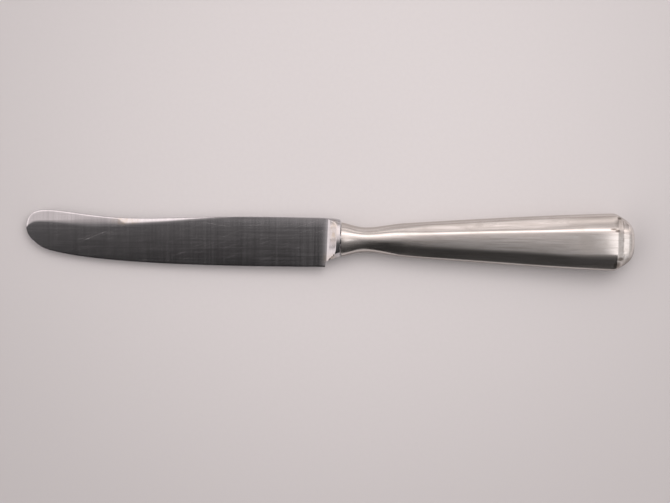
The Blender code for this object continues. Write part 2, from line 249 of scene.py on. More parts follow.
nose_line = [on_run(run, t) for run in SPINE_RUNS[:2] for t in steps(0.0, 1.0, NOSE_POINTS)]


def round_rim(distance, reach, fullness=2.0):
    """Share of the full height near the outline: 2 is a quarter round, more is boxier."""
    left = 1.0 - clamp(distance / reach, 0.0, 1.0)
    return (1.0 - left ** fullness) ** (1.0 / fullness)


def flat_height(x, y):
    """Half thickness of the ground flat, before swage and bolster."""
    share = (y - EDGE_HEIGHT) / (SPINE_HEIGHT - EDGE_HEIGHT)
    wedge = EDGE_HALF + share * (SPINE_HALF - EDGE_HALF)
    belly = 4.0 * BELLY * share * (1.0 - share)
    thinned = TIP_THINNING * clamp((HEEL - x) / (HEEL - TIP), 0.0, 1.0)
    roll = ROLL + HEEL_ROLL * ease(x, HEEL_ROLL_STARTS, HEEL_ROLL_FULL)
    rolled = roll * max(y - ROLL_START, 0.0) ** 2
    return max(wedge + belly - thinned - rolled, EDGE_HALF / 2.0)


def from_spine(x, y, top):
    """Distance from the spine line, which turns down at the rounded tip."""
    if x > NOSE_END:
        return top - y
    return min(math.hypot(x - point.x, y - point.y) for point in nose_line)


def swage_height(x, y, top):
    """Height of the wide bevel near the tip and of the narrow one along the spine."""
    line = through(x, SWAGE_LINE)
    width = min(SPINE_BEVEL_WIDTH, max(top - line, 0.0))
    width += (top - line - width) * ease(x, BEVEL_WIDENS, BEVEL_WIDE)
    extra = (SPINE_BEVEL_SLOPE - SWAGE_SLOPE) * max(width - from_spine(x, y, top), 0.0)
    return flat_height(x, line) - SWAGE_SLOPE * (y - line) - extra


def band_top(y, low, top):
    """The bolster's band, a soft gable, before its sides are rounded."""
    off_crest = y - (top + low) / 2.0 - BAND_CREST
    return BOLSTER_HEIGHT - BAND_SLOPE * (math.hypot(off_crest, BAND_SOFT) - BAND_SOFT)


def bolster_height(x, y, low, top, flat):
    """The flat, its hollow run-out at the heel, the shoulder and the band."""
    down = (SPINE_HEIGHT - y) / (SPINE_HEIGHT - EDGE_HEIGHT)
    past = x - HEEL + HEEL_LEAN * down
    if past < -RUNOUT_LENGTH:
        return flat
    share = 1.0 + min(past, 0.0) / RUNOUT_LENGTH
    foot = flat + RUNOUT_LENGTH * (RUNOUT_SLOPE * share + RUNOUT_HOLLOW * share ** 3)
    if past < 0.0:
        return foot
    band = band_top(y, low, top)
    lip = foot + LIP_SLOPE * LIP_LENGTH
    length = SHOULDER_LENGTH - SHOULDER_NARROWS * down
    climb = clamp((past - LIP_LENGTH) / (length - LIP_LENGTH), 0.0, 1.0)
    shoulder = lip + climb * (band - lip) if past > LIP_LENGTH else foot + LIP_SLOPE * past
    shoulder = foot + (shoulder - foot) * round_rim(y - low, SHOULDER_ROUND)
    rounded = band * round_rim(min(y - low, top - y), (top - low) / 2.0, BAND_FULLNESS)
    underside = UNDERSIDE_FOOT + UNDERSIDE_SLOPE * (y - low)
    return lower_of(lower_of(shoulder, rounded, CREASE_SOFT), underside, UNDERSIDE_SOFT)


def blade_height(x, y, low, top):
    """Half thickness of blade and bolster at a point of the outline."""
    distance = min(y - low, top - y)
    half = max((top - low) / 2.0, WELD)
    flat = lower_of(flat_height(x, y), swage_height(x, y, top), through(x, SWAGE_SOFTS))
    height = bolster_height(x, y, low, top, flat)
    return max(height, 0.0) * round_rim(distance, min(RIM_ROUND, half))


near_heel = blade_height(-8.0, 5.0, EDGE_HEIGHT, SPINE_HEIGHT)
print("blade half thickness near the heel:", round(near_heel, 2), "mm")

# %% [markdown]
# ## Drawing out the blade
# The rows lie close together at the rounded tip and at the bolster, where the form turns
# quickly, and wider apart along the plain flat. Behind the bolster the tang runs on into the
# handle. Only the front is made. A mirror across the blade's middle plane gives the back,
# because a knife is ground alike on both sides.

# %% Blade, bolster and tang in one forging
TANG_WIDTH = 1.65
TANG_HEIGHT = 1.0
TANG_END = 42.0
TANG_TIP_SHARE = 0.70
RIM_POINTS = 7
FLAT_POINTS = 26
SWAGE_POINTS = 10
BEVEL_POINTS = 4
RIM_SHARE = 6.0
LINE_LOWEST, LINE_MARGIN = 0.4, 0.06
CREASE_HALF = 0.5
NOSE_LENGTH = 8.0
NOSE_ROWS = 40
ROW_RUNS = [
    (-80.0, -64.0, 32),
    (-64.0, -58.0, 24),
    (-58.0, -8.0, 84),
    (-8.0, -4.3, 20),
    (-4.3, -3.8, 16),
    (-3.8, 0.0, 64),
]
BACK_FACE = -0.0001
BACK_EDGE = -0.06
BACK_NARROWS, BACK_THINS = 0.985, 0.98
TANG_ROWS = 30


def across_blade(x, low, top):
    """Heights where a section is sampled: close at both rims and at the swage line."""
    whole = top - low
    rim = min(RIM_ROUND, whole / RIM_SHARE)
    lower, upper = low + rim, top - rim
    lowest, highest = lower + LINE_LOWEST * (upper - lower), upper - LINE_MARGIN * (upper - lower)
    line = clamp(through(x, SWAGE_LINE), lowest, highest)
    soft = min(CREASE_HALF, (upper - line) / 3.0)
    points = [low + rim * (i / RIM_POINTS) ** 2 for i in range(RIM_POINTS)]
    points += steps(lower, line - soft, FLAT_POINTS)
    points += steps(line - soft, line + soft, SWAGE_POINTS)
    bevel = max(line + soft, top - SPINE_BEVEL_WIDTH)
    points += steps(line + soft, bevel, SWAGE_POINTS) + steps(bevel, upper, BEVEL_POINTS)
    points += [top - rim * (i / RIM_POINTS) ** 2 for i in range(RIM_POINTS, -1, -1)]
    return points


def blade_row(x):
    low, top = height_on(EDGE_RUNS, x), height_on(SPINE_RUNS, x)
    return [(x, y, blade_height(x, y, low, top)) for y in across_blade(x, low, top)]


def tang_row(x, share, count):
    """Half an oval, from the lower side of the tang to the upper one."""
    width, height = TANG_WIDTH * share, TANG_HEIGHT * share
    row = []
    for i in range(count):
        angle = math.pi * i / (count - 1)
        row.append((x, -width * math.cos(angle), height * math.sin(angle)))
    return row


def blade_stations():
    """Stations from the tip, where they lie closest, to the back of the bolster."""
    stations = []
    for i in range(NOSE_ROWS):
        stations.append(TIP + NOSE_LENGTH * (1.0 - math.cos(math.pi / 2.0 * i / NOSE_ROWS)))
    for start, end, count in ROW_RUNS:
        stations += steps(start, end, count)
    return stations


rows = [blade_row(x) for x in blade_stations()]
back = blade_row(BACK_FACE)
rows.append([(BACK_EDGE, y, z) for _, y, z in back])
rows.append([(0.0, y * BACK_NARROWS, z * BACK_THINS) for _, y, z in back])
across = len(back)
rows.append(tang_row(0.0, 1.0, across))
for i in range(1, TANG_ROWS + 1):
    along = i / TANG_ROWS
    rows.append(tang_row(TANG_END * along, 1.0 + along * (TANG_TIP_SHARE - 1.0), across))
rows.append(tang_row(TANG_END, 0.0, across))

blade_mesh = strike(rows)
front_side = blade_mesh.verts[:] + blade_mesh.edges[:] + blade_mesh.faces[:]
bmesh.ops.mirror(blade_mesh, geom=front_side, axis="Z", merge_dist=WELD)
bmesh.ops.remove_doubles(blade_mesh, verts=blade_mesh.verts, dist=WELD)
open_edges = sum(edge.is_boundary for edge in blade_mesh.edges)
print("blade:", len(blade_mesh.faces), "faces, open edges:", open_edges)

# %% [markdown]
# ## The section of the handle
# At the mouth and the neck the handle is oval. Along the body it turns into a flat panel on
# each side, two curved chamfers and rounded narrow sides. Two quarters of the section are
# enough, because the back mirrors the front. They are alike, but towards the end of the handle
# the lower ridge lies a little further out. Short Bezier bends draw the faceted quarter, and
# the oval is mixed in towards the neck.

# %% A quarter of the handle's section
PANEL_CROWNS = [(0.0, 0.045, 0.0), (52.0, 0.045, 0.0), (70.0, 0.014, 0.0), (82.1, 0.014, 0.0)]
RIDGE_HALVES = [(0.0, 0.60, 0.0), (54.0, 0.60, 0.0), (72.0, 0.75, 0.0), (82.1, 0.75, 0.0)]
RIDGE_HALF_SHARE = 0.35
RIDGE_SLOPES = [(0.0, 0.59, 0.0), (54.0, 0.585, 0.0), (72.0, 0.47, 0.0), (82.1, 0.47, 0.0)]
SIDE_SLOPES = [(0.0, 0.69, 0.0), (54.0, 0.69, 0.0), (72.0, 0.75, 0.0), (82.1, 0.75, 0.0)]
SIDE_REACH = 0.88
SIDE_SHARE = 0.15
SIDE_REACH_END = 0.64
WIDE_SECTION, WIDEST_SECTION = 6.0, 8.0
LOWER_RIDGE_SHIFTS = [
    (0.0, 0.0, 0.0),
    (42.0, 0.0, 0.0),
    (51.0, 0.12, 0.022),
    (62.0, 0.43, 0.022),
    (67.0, 0.52, 0.008),
    (73.0, 0.50, 0.0),
    (75.7, 0.52, 0.01),
    (78.5, 0.42, -0.09),
    (81.0, 0.0, 0.0),
    (90.0, 0.0, 0.0),
]
FLAT_STEPS, RIDGE_STEPS, CHAMFER_STEPS, SIDE_STEPS = 6, 10, 9, 10


def bend(a, b, c, count):
    """Points on a quadratic Bezier bend from a to c, without c itself."""
    points = []
    for t in steps(0.0, 1.0, count):
        points.append(a.lerp(b, t).lerp(b.lerp(c, t), t))
    return points


def faceted_quarter(x, half_width, half_height, panel):
    """From the middle of the panel over ridge and chamfer to the seam."""
    crown = through(x, PANEL_CROWNS)
    ridge_slope, side_slope = through(x, RIDGE_SLOPES), through(x, SIDE_SLOPES)
    half_ridge = min(through(x, RIDGE_HALVES), panel * RIDGE_HALF_SHARE)
    flat = panel - half_ridge
    middle = Vector((0.0, half_height))
    flat_bend = Vector((flat / 2.0, half_height))
    flat_end = Vector((flat, half_height - crown * flat))
    ridge_bend = flat_end + Vector((half_ridge, -2.0 * crown * half_ridge))
    ridge_end = ridge_bend + Vector((half_ridge, -ridge_slope * half_ridge))
    narrowing = ease(half_width, WIDE_SECTION, WIDEST_SECTION)
    side = min(SIDE_REACH + narrowing * (SIDE_REACH_END - SIDE_REACH), SIDE_SHARE * half_width)
    half_chamfer = (half_width - side - ridge_end.x) / 2.0
    chamfer_bend = ridge_end + Vector((half_chamfer, -ridge_slope * half_chamfer))
    chamfer_end = chamfer_bend + Vector((half_chamfer, -side_slope * half_chamfer))
    side_bend = chamfer_end + Vector((side, -side_slope * side))
    seam = Vector((half_width, 0.0))
    points = bend(middle, flat_bend, flat_end, FLAT_STEPS)
    points += bend(flat_end, ridge_bend, ridge_end, RIDGE_STEPS)
    points += bend(ridge_end, chamfer_bend, chamfer_end, CHAMFER_STEPS)
    points += bend(chamfer_end, side_bend, seam, SIDE_STEPS)
    return points + [seam]


def mixed_quarter(x, half_width, half_height, panel, facets):
    """A quarter between the neck's oval, facets 0, and the faceted handle, facets 1."""
    quarter = faceted_quarter(x, half_width, half_height, panel)
    lengths = [0.0]
    for a, b in zip(quarter, quarter[1:]):
        lengths.append(lengths[-1] + (b - a).length)
    mixed = []
    for point, length in zip(quarter, lengths):
        angle = math.pi / 2.0 * length / lengths[-1]
        oval = Vector((half_width * math.sin(angle), half_height * math.cos(angle)))
        mixed.append(oval.lerp(point, facets))
    return mixed


def half_section(x, half_width, half_height, panel, facets):
    """Upper half of a section, from the seam at the edge side to the seam at the spine side."""
    lower_panel = panel + through(x, LOWER_RIDGE_SHIFTS)
    lower = mixed_quarter(x, half_width, half_height, lower_panel, facets)
    upper = mixed_quarter(x, half_width, half_height, panel, facets)
    return [(x, -p.x, p.y) for p in reversed(lower)] + [(x, p.x, p.y) for p in upper[1:]]


print("points in half a section:", len(half_section(40.0, 6.0, 3.8, 2.5, 1.0)))

# %% [markdown]
# ## From the mouth to the stepped end
# The handle narrows from a flared mouth to a slim neck and widens steadily to its end, where a
# sloped step leads down to a small rounded cap. Width, thickness and panel are smooth lines
# along the handle. At the step they are straight runs between knots, so that its edges stay
# crisp.

# %% Stations along the handle
MOUTH = 0.3
NECK = 7.0
FACETS_FULL = 27.0
WIDTHS = [
    (0.3, 4.80, -0.08),
    (2.2, 4.38, -0.28),
    (5.0, 3.70, -0.15),
    (7.0, 3.50, 0.0),
    (18.0, 4.78, 0.068),
    (75.7, 8.03, 0.035),
]
HEIGHTS = [
    (0.3, 3.48, -0.03),
    (2.2, 3.33, -0.09),
    (4.8, 3.17, -0.03),
    (7.0, 3.15, 0.0),
    (18.0, 3.42, 0.0233),
    (70.6, 4.624, 0.0233),
    (77.03, 4.61, -0.048),
]
PANELS = [(0.0, 1.30, 0.033), (28.0, 2.20, 0.034), (56.0, 3.10, 0.022), (75.7, 3.40, 0.010)]
BODY_END = 75.7
STEP_RUNS = [
    [(75.7, 8.03, None, 3.40), (76.4, 7.98, None, 3.38), (77.03, 7.76, None, 3.34)],
    [(77.03, 7.76, 4.61, 3.34), (77.8, 7.37, 4.25, 3.22), (78.63, 6.84, 3.84, 3.10)],
    [
        (78.63, 6.84, 3.84, 3.10),
        (79.0, 6.60, 3.80, 3.08),
        (79.6, 6.22, 3.73, 2.98),
        (80.2, 5.70, 3.64, 2.78),
        (80.6, 5.33, 3.48, 2.58),
        (81.0, 4.88, 3.20, 2.32),
        (81.45, 4.10, 2.74, 1.95),
        (81.8, 3.25, 2.22, 1.53),
        (82.0, 1.90, 1.40, 0.90),
    ],
]
RUN_STEPS = 4
BODY_RUNS = [
    (MOUTH, NECK, 34),
    (NECK, FACETS_FULL, 44),
    (FACETS_FULL, 70.0, 72),
    (70.0, BODY_END, 20),
]
CLOSING_SHARES = (1.0, 0.75, 0.5, 0.25, 0.0)


def body_section(x):
    width, height, panel = (through(x, knots) for knots in (WIDTHS, HEIGHTS, PANELS))
    return half_section(x, width, height, panel, ease(x, NECK, FACETS_FULL))


def step_section(knot, following, share):
    """A section between two knots of the stepped end."""
    x, width, height, panel = (
        None if a is None else a + (b - a) * share for a, b in zip(knot, following)
    )
    if height is None:
        height = through(x, HEIGHTS)
    return half_section(x, width, height, panel, 1.0)


def handle_rows():
    """Sections from the mouth to the cap. The last ones close it."""
    rows = []
    for start, end, count in BODY_RUNS:
        rows += [body_section(x) for x in steps(start, end, count)]
    for run in STEP_RUNS:
        for knot, following in zip(run, run[1:]):
            rows += [step_section(knot, following, share) for share in steps(0.0, 1.0, RUN_STEPS)]
    last_knot = STEP_RUNS[-1][-1]
    last = step_section(last_knot, last_knot, 0.0)
    for share in CLOSING_SHARES:
        rows.append([(x, y * share, z * share) for x, y, z in last])
    return rows


print("handle sections:", len(handle_rows()))

# %% [markdown]
# ## Two half shells
# Each shell is one struck sheet, trimmed flat along the seam and given the thickness of the
# silver-plated sheet on its inside. Solidify does that as the press would: the outside keeps
# its form. The back half is the same pressing, turned over.

# %% Front and back half of the handle
SEAM = 0.2
WALL = 0.7


def handle_half(side):
    """One half shell: side is 1 for the front and -1 for the back."""
    bm = strike(handle_rows())
    bmesh.ops.remove_doubles(bm, verts=bm.verts, dist=WELD)
    everything = bm.verts[:] + bm.edges[:] + bm.faces[:]
    bmesh.ops.bisect_plane(
        bm,
        geom=everything,
        dist=WELD,
        plane_co=(0.0, 0.0, SEAM),
        plane_no=(0.0, 0.0, 1.0),
        clear_inner=True,
    )
    bmesh.ops.scale(bm, verts=bm.verts, vec=(1.0, 1.0, side))
    bmesh.ops.recalc_face_normals(bm, faces=bm.faces)
    middle_face = max(bm.faces, key=lambda face: side * face.calc_center_median().z)
    if middle_face.normal.z * side < 0.0:
        bmesh.ops.reverse_faces(bm, faces=bm.faces)
    bmesh.ops.solidify(bm, geom=bm.faces[:], thickness=WALL)
    return bm


front_mesh, back_mesh = handle_half(1), handle_half(-1)
open_edges = sum(edge.is_boundary for edge in front_mesh.edges)
print("half shell:", len(front_mesh.faces), "faces, open edges:", open_edges)

# %% [markdown]
# ## The line of solder
# Solder fills the seam between the shells and is filed flush, so only a hairline shows along
# the narrow sides. It is a ribbon that runs along one side, round the end and back, with the
# thickness of the wall on its inside.

# %% Seam of silver solder
SOLDER_HALF = 0.15


def seam_path():
    """Plan of the seam along the spine side, from the mouth to the end."""
    return [(row[-1][0], row[-1][1]) for row in handle_rows()[:-len(CLOSING_SHARES)]]


plan = seam_path()
plan += [(x, -y) for x, y in reversed(plan)]
seam_mesh = strike([[(x, y, -SOLDER_HALF), (x, y, SOLDER_HALF)] for x, y in plan])
bmesh.ops.remove_doubles(seam_mesh, verts=seam_mesh.verts, dist=WELD)
bmesh.ops.recalc_face_normals(seam_mesh, faces=seam_mesh.faces)
side_face = max(seam_mesh.faces, key=lambda face: face.calc_center_median().y)
if side_face.normal.y < 0.0:
    bmesh.ops.reverse_faces(seam_mesh, faces=seam_mesh.faces)
bmesh.ops.solidify(seam_mesh, geom=seam_mesh.faces[:], thickness=WALL)
print("solder:", len(seam_mesh.faces), "faces")

# %% [markdown]
# ## Nodes for metal
# Brushed metal is bright or dull only along its scratches. A noise that is stretched in one
# direction gives such lines: stretched across the blade for the marks of the grinding wheel,
# and along the handle for years of polishing. The patterns read Object coordinates, in
# metres, and a Mapping node sets how many lines there are in each direction.

# %% Helpers for materials
NOISE_LOW, NOISE_HIGH = 0.3, 0.7
SCRATCH_SIDES = 0.35
SCRATCH_DEPTH = 0.50
DENT_DEPTH = 0.00002


def new_material(name):
    material = bpy.data.materials.new(name)
    material.use_nodes = True
    tree = material.node_tree
    return material, tree, tree.nodes["Principled BSDF"]


def add(tree, kind, inputs=(), **settings):
    """A new node with its settings and with values on its sockets."""
    made = tree.nodes.new(kind)
    for name, value in settings.items():
        setattr(made, name, value)
    for name, value in dict(inputs).items():
        if isinstance(value, bpy.types.NodeSocket):
            tree.links.new(value, made.inputs[name])
        else:
            made.inputs[name].default_value = value
    return made


def object_places(tree):
    return add(tree, "ShaderNodeTexCoord").outputs["Object"]


def mapped(tree, vector, shift=(0.0, 0.0, 0.0), turn=0.0, scale=(1.0, 1.0, 1.0)):
    """Coordinates that are scaled, then turned about Z, then shifted."""
    settings = {"Vector": vector, "Location": shift, "Rotation": (0.0, 0.0, turn), "Scale": scale}
    return add(tree, "ShaderNodeMapping", settings).outputs["Vector"]


def lines(tree, per_metre, turn=0.0, detail=3.0):
    """Stretched noise: lines per metre along X, Y and Z."""
    turned = mapped(tree, object_places(tree), turn=turn)
    scaled = mapped(tree, turned, scale=per_metre)
    settings = {"Vector": scaled, "Scale": 1.0, "Detail": detail}
    return add(tree, "ShaderNodeTexNoise", settings).outputs["Fac"]


def remap(tree, value, low, high, to_low, to_high, smooth=False):
    """Stretch a value from one range to another, held at both ends."""
    kind = "SMOOTHSTEP" if smooth else "LINEAR"
    settings = {"Value": value, "From Min": low, "From Max": high}
    settings.update({"To Min": to_low, "To Max": to_high})
    return add(tree, "ShaderNodeMapRange", settings, interpolation_type=kind).outputs["Result"]


def from_noise(tree, noise, to_low, to_high):
    """Stretch the usual range of a noise to another range."""
    return remap(tree, noise, NOISE_LOW, NOISE_HIGH, to_low, to_high)


def sums(tree, operation, a, b):
    return add(tree, "ShaderNodeMath", {0: a, 1: b}, operation=operation).outputs["Value"]


def blend_colours(tree, share, a, b):
    made = add(tree, "ShaderNodeMix", data_type="RGBA")
    for socket, value in zip((made.inputs[0], made.inputs[6], made.inputs[7]), (share, a, b)):
        if isinstance(value, bpy.types.NodeSocket):
            tree.links.new(value, socket)
        else:
            socket.default_value = value
    return made.outputs[2]


def ball(tree, vector):
    """1 where a vector is zero, falling to 0 at length one."""
    gradient = add(tree, "ShaderNodeTexGradient", {"Vector": vector}, gradient_type="SPHERICAL")
    return gradient.outputs["Fac"]


def spot(tree, centre, reach):
    """1 at a centre, falling to 0 at the reach in X, Y and Z, in metres."""
    scale = [1.0 / r for r in reach]
    shift = [-c / r for c, r in zip(centre, reach)]
    return ball(tree, mapped(tree, object_places(tree), shift=shift, scale=scale))


def scratch(tree, start, end, half_width):
    """Depth of a straight scratch seen from the front, falling to 0 at its sides and ends."""
    start, end = Vector(start), Vector(end)
    middle, along = (start + end) / 2.0, end - start
    turn = -math.atan2(along.y, along.x)
    turned_middle = Matrix.Rotation(turn, 2) @ middle
    shift = (-turned_middle.x, -turned_middle.y, 0.0)
    turned = mapped(tree, object_places(tree), shift=shift, turn=turn)
    scaled = mapped(tree, turned, scale=(2.0 / along.length, 1.0 / half_width, 0.0))
    return remap(tree, ball(tree, scaled), 0.0, SCRATCH_SIDES, 0.0, SCRATCH_DEPTH)


def finish_metal(tree, shader, colour, roughness, dents, dent_strength):
    """Connect a metal's colour, roughness and fine dents."""
    tree.links.new(colour, shader.inputs["Base Color"])
    tree.links.new(roughness, shader.inputs["Roughness"])
    shader.inputs["Metallic"].default_value = 1.0
    settings = {"Height": dents, "Strength": dent_strength, "Distance": DENT_DEPTH}
    bump = add(tree, "ShaderNodeBump", settings)
    tree.links.new(bump.outputs["Normal"], shader.inputs["Normal"])


print("helpers ready")

# %% [markdown]
# ## Ground stainless steel
# The wheel ran across the blade, so its lines do too. They change how rough the steel is and
# dent it slightly. Cutting has left a few longer scratches at a slant. The bolster was
# polished on a mop and is smoother than the flats. Faint tan stains lie on the top of its
# shoulder and where the bright part of the swage begins, and a patch of the same tan is painted
# shade on the lower end of the shoulder.

# %% Blade steel
STEEL = (0.545, 0.532, 0.543, 1.0)
STEEL_WORN = (0.64, 0.624, 0.636, 1.0)
WORN_STARTS, WORN_FULL = 1.15, 1.85
WHEEL_LINES, WHEEL_ROUGHNESS = (2600.0, 60.0, 60.0), (0.11, 0.15)
WIDE_WHEEL_LINES, WIDE_WHEEL_ROUGHNESS = (500.0, 22.0, 22.0), (-0.004, 0.006)
POLISH_LINES, POLISH_ROUGHNESS = (70.0, 2600.0, 60.0), (-0.03, 0.03)
CUT_LINES = (130.0, 5200.0, 40.0)
CUT_SLANT = math.radians(-18.0)
CUT_STARTS, CUT_FULL = 0.64, 0.72
CUT_DEPTH = 0.4
CUT_ROUGHNESS = 0.22
CUT_DENT = -0.4
SCRATCHES = [
    ((-0.0712, -0.0018), (-0.0608, 0.0025), 0.00014),
    ((-0.0367, 0.0047), (-0.0263, 0.0031), 0.00012),
]
BOLSTER_STARTS, BOLSTER_FULL = -0.0014, -0.0004
BOLSTER_ROUGHNESS = 0.14
STAIN_AND_SHADE = (0.54, 0.485, 0.43, 1.0)
STAIN_AND_SHADE_PLACES = [
    ((0.0012, 0.0022, 0.006), (0.0016, 0.0046, 0.010)),
    # Painted shade: this patch darkens the lower end of the shoulder, where it mirrors the dark
    # room in front.
    ((0.0000, -0.0054, 0.006), (0.0030, 0.0022, 0.010)),
    ((-0.0572, 0.0046, 0.006), (0.0050, 0.0016, 0.010)),
]
PATCH_CLOUDS = (900.0, 500.0, 500.0)
STEEL_DENTS = 0.03

steel, tree, shader = new_material("ground stainless steel")
wheel = lines(tree, WHEEL_LINES, detail=4.0)
wide_wheel = lines(tree, WIDE_WHEEL_LINES, detail=2.0)
polish = lines(tree, POLISH_LINES, detail=4.0)
cut_marks = lines(tree, CUT_LINES, turn=CUT_SLANT, detail=1.0)
cuts = remap(tree, cut_marks, CUT_STARTS, CUT_FULL, 0.0, CUT_DEPTH)
for start, end, half_width in SCRATCHES:
    cuts = sums(tree, "MAXIMUM", cuts, scratch(tree, start, end, half_width))
station = add(tree, "ShaderNodeSeparateXYZ", {"Vector": object_places(tree)}).outputs["X"]
polished = remap(tree, station, BOLSTER_STARTS, BOLSTER_FULL, 0.0, 1.0, smooth=True)
unpolished = sums(tree, "SUBTRACT", 1.0, polished)
ground = from_noise(tree, wheel, *WHEEL_ROUGHNESS)
ground = sums(tree, "ADD", ground, from_noise(tree, wide_wheel, *WIDE_WHEEL_ROUGHNESS))
ground = sums(tree, "ADD", ground, from_noise(tree, polish, *POLISH_ROUGHNESS))
ground = sums(tree, "ADD", ground, sums(tree, "MULTIPLY", cuts, CUT_ROUGHNESS))
ground = sums(tree, "MULTIPLY", ground, unpolished)
roughness = sums(tree, "ADD", ground, sums(tree, "MULTIPLY", polished, BOLSTER_ROUGHNESS))
crossed = sums(tree, "ADD", wheel, sums(tree, "ADD", wide_wheel, polish))
worn = remap(tree, crossed, WORN_STARTS, WORN_FULL, 0.0, 1.0)
colour = blend_colours(tree, worn, STEEL, STEEL_WORN)
patch_cloud = remap(tree, lines(tree, PATCH_CLOUDS), 0.40, 0.60, 0.5, 1.5)
for place, reach in STAIN_AND_SHADE_PLACES:
    stain_and_shade = sums(tree, "MULTIPLY", spot(tree, place, reach), patch_cloud)
    colour = blend_colours(tree, sums(tree, "MINIMUM", stain_and_shade, 1.0), colour, STAIN_AND_SHADE)
wheel_dents = sums(tree, "MULTIPLY", wheel, unpolished)
dents = sums(tree, "ADD", wheel_dents, sums(tree, "MULTIPLY", cuts, CUT_DENT))
finish_metal(tree, shader, colour, roughness, dents, STEEL_DENTS)
print("steel nodes:", len(tree.nodes))

# %% [markdown]
# ## Worn silver plate
# Silver is the brightest of metals and slightly warm. Polishing cloths leave fine lines along
# the handle, and handling leaves cloudy patches that are a little duller. The narrow sides are
# painted darker as shade, much darker on the edge side, which faces the shadow. Tarnish stays
# in the groove of the step, where no cloth reaches, and a few darker spots sit at the stepped
# end and at the lower corner of the cap.

# %% Silver plate
SILVER = (0.93, 0.889, 0.852, 1.0)
SILVER_DULL = (0.785, 0.737, 0.69, 1.0)
# Painted shade: the narrow sides are darkened, the edge side, which faces the shadow, much more.
SPINE_SIDE_SHADE = (0.55, 0.512, 0.478, 1.0)
EDGE_SIDE_SHADE = (0.255, 0.235, 0.221, 1.0)
TARNISH_AND_SPOT_COLOUR = (0.20, 0.17, 0.145, 1.0)
BRUSH_LINES, BRUSH_ROUGHNESS = (45.0, 5200.0, 5200.0), (0.10, 0.18)
SOFT_BRUSH_LINES = (24.0, 1300.0, 1300.0)
BRUSH_DENT = 0.5
DULL_CLOUDS = (160.0, 330.0, 330.0)
DULL_STARTS, DULL_FULL = 0.42, 0.68
DULL_ROUGHNESS = 0.05
DULL_SHARE = 0.8
STREAK_LINES = (40.0, 1700.0, 1700.0)
STREAK_STARTS, STREAK_FULL = 0.44, 0.62
STREAK_SHARE = 0.85
SPOT_FULL = 0.7
HANDLED_PLACES = [
    ((0.0745, 0.0064, 0.0068), (0.0140, 0.0026, 0.0060)),
    ((0.0712, -0.0003, 0.0094), (0.0042, 0.0045, 0.0060)),
]
# Where the painted shade on the narrow sides is full and where it ends, in millimetres off the
# seam.
SIDE_SHADE_FULL, SIDE_SHADE_ENDS = 1.2, 2.3
EDGE_BELOW, SPINE_ABOVE = -0.002, 0.002
THICKENS, THICK = 0.05, 0.072
SIDE_SHADE_WIDENS = 0.25
STEP_DIRT_STARTS, STEP_DIRT_FULL = 0.0810, 0.0815
STEP_DIRT_FADES, STEP_DIRT_ENDS = 0.0816, 0.0820
DIRT_GRAINS = (700.0, 700.0, 700.0)
DIRT_STARTS, DIRT_FULL = 0.42, 0.62
DIRT_SHARE = 0.35
# Darker spots at the stepped end: in the upper corners of the step, along its lower side and at
# the lower corner of the cap.
DARK_END_SPOTS = [
    ((0.0806, 0.00675, 0.0075), (0.0010, 0.0006, 0.0020), 0.9),
    ((0.0787, 0.0038, 0.0094), (0.0014, 0.0004, 0.0015), 0.9),
    ((0.0797, 0.0034, 0.0094), (0.0010, 0.0006, 0.0015), 0.9),
    ((0.0806, -0.0045, 0.0083), (0.0017, 0.0009, 0.0020), 0.9),
    ((0.0799, -0.0060, 0.0072), (0.0015, 0.0018, 0.0030), 0.9),
    ((0.0804, 0.0054, 0.0082), (0.0018, 0.0022, 0.0030), 0.4),
    ((0.0829, -0.0052, 0.0065), (0.0024, 0.0024, 0.0040), 0.5),
]
SILVER_DENTS = 0.11

silver, tree, shader = new_material("worn silver plate")
brushing = lines(tree, BRUSH_LINES, detail=4.0)
soft_brushing = lines(tree, SOFT_BRUSH_LINES, detail=2.0)
clouds = lines(tree, DULL_CLOUDS, detail=4.0)
dull = remap(tree, clouds, DULL_STARTS, DULL_FULL, 0.0, 1.0, smooth=True)
roughness = from_noise(tree, brushing, *BRUSH_ROUGHNESS)
roughness = sums(tree, "ADD", roughness, sums(tree, "MULTIPLY", dull, DULL_ROUGHNESS))
streaks = remap(tree, lines(tree, STREAK_LINES), STREAK_STARTS, STREAK_FULL, 0.0, STREAK_SHARE)
worn = sums(tree, "MAXIMUM", sums(tree, "MULTIPLY", dull, DULL_SHARE), streaks)
for place, reach in HANDLED_PLACES:
    patch = remap(tree, spot(tree, place, reach), 0.0, SPOT_FULL, 0.0, 1.0, smooth=True)
    worn = sums(tree, "MAXIMUM", worn, patch)
colour = blend_colours(tree, worn, SILVER, SILVER_DULL)

# Painted shade on the narrow sides near the seam, wider on the edge side towards the thick end.
coordinates = object_places(tree)
places = add(tree, "ShaderNodeSeparateXYZ", {"Vector": coordinates}).outputs
stand_up = lay_down.inverted()
along_up = {0: coordinates, 1: stand_up[2][:3]}
over_seam = add(tree, "ShaderNodeVectorMath", along_up, operation="DOT_PRODUCT").outputs["Value"]
off_seam = sums(tree, "ABSOLUTE", sums(tree, "ADD", over_seam, stand_up[2][3]), 0.0)
spine_side = remap(tree, places["Y"], EDGE_BELOW, SPINE_ABOVE, 0.0, 1.0)
thick_end = remap(tree, places["X"], THICKENS, THICK, 0.0, SIDE_SHADE_WIDENS)
thick_edge = sums(tree, "MULTIPLY", thick_end, sums(tree, "SUBTRACT", 1.0, spine_side))
off_seam = sums(tree, "MULTIPLY", off_seam, sums(tree, "SUBTRACT", 1.0, thick_edge))
narrow_side_shade = remap(tree, off_seam, SIDE_SHADE_FULL, SIDE_SHADE_ENDS, 1.0, 0.0, smooth=True)
side_shade_colour = blend_colours(tree, spine_side, EDGE_SIDE_SHADE, SPINE_SIDE_SHADE)
colour = blend_colours(tree, narrow_side_shade, colour, side_shade_colour)

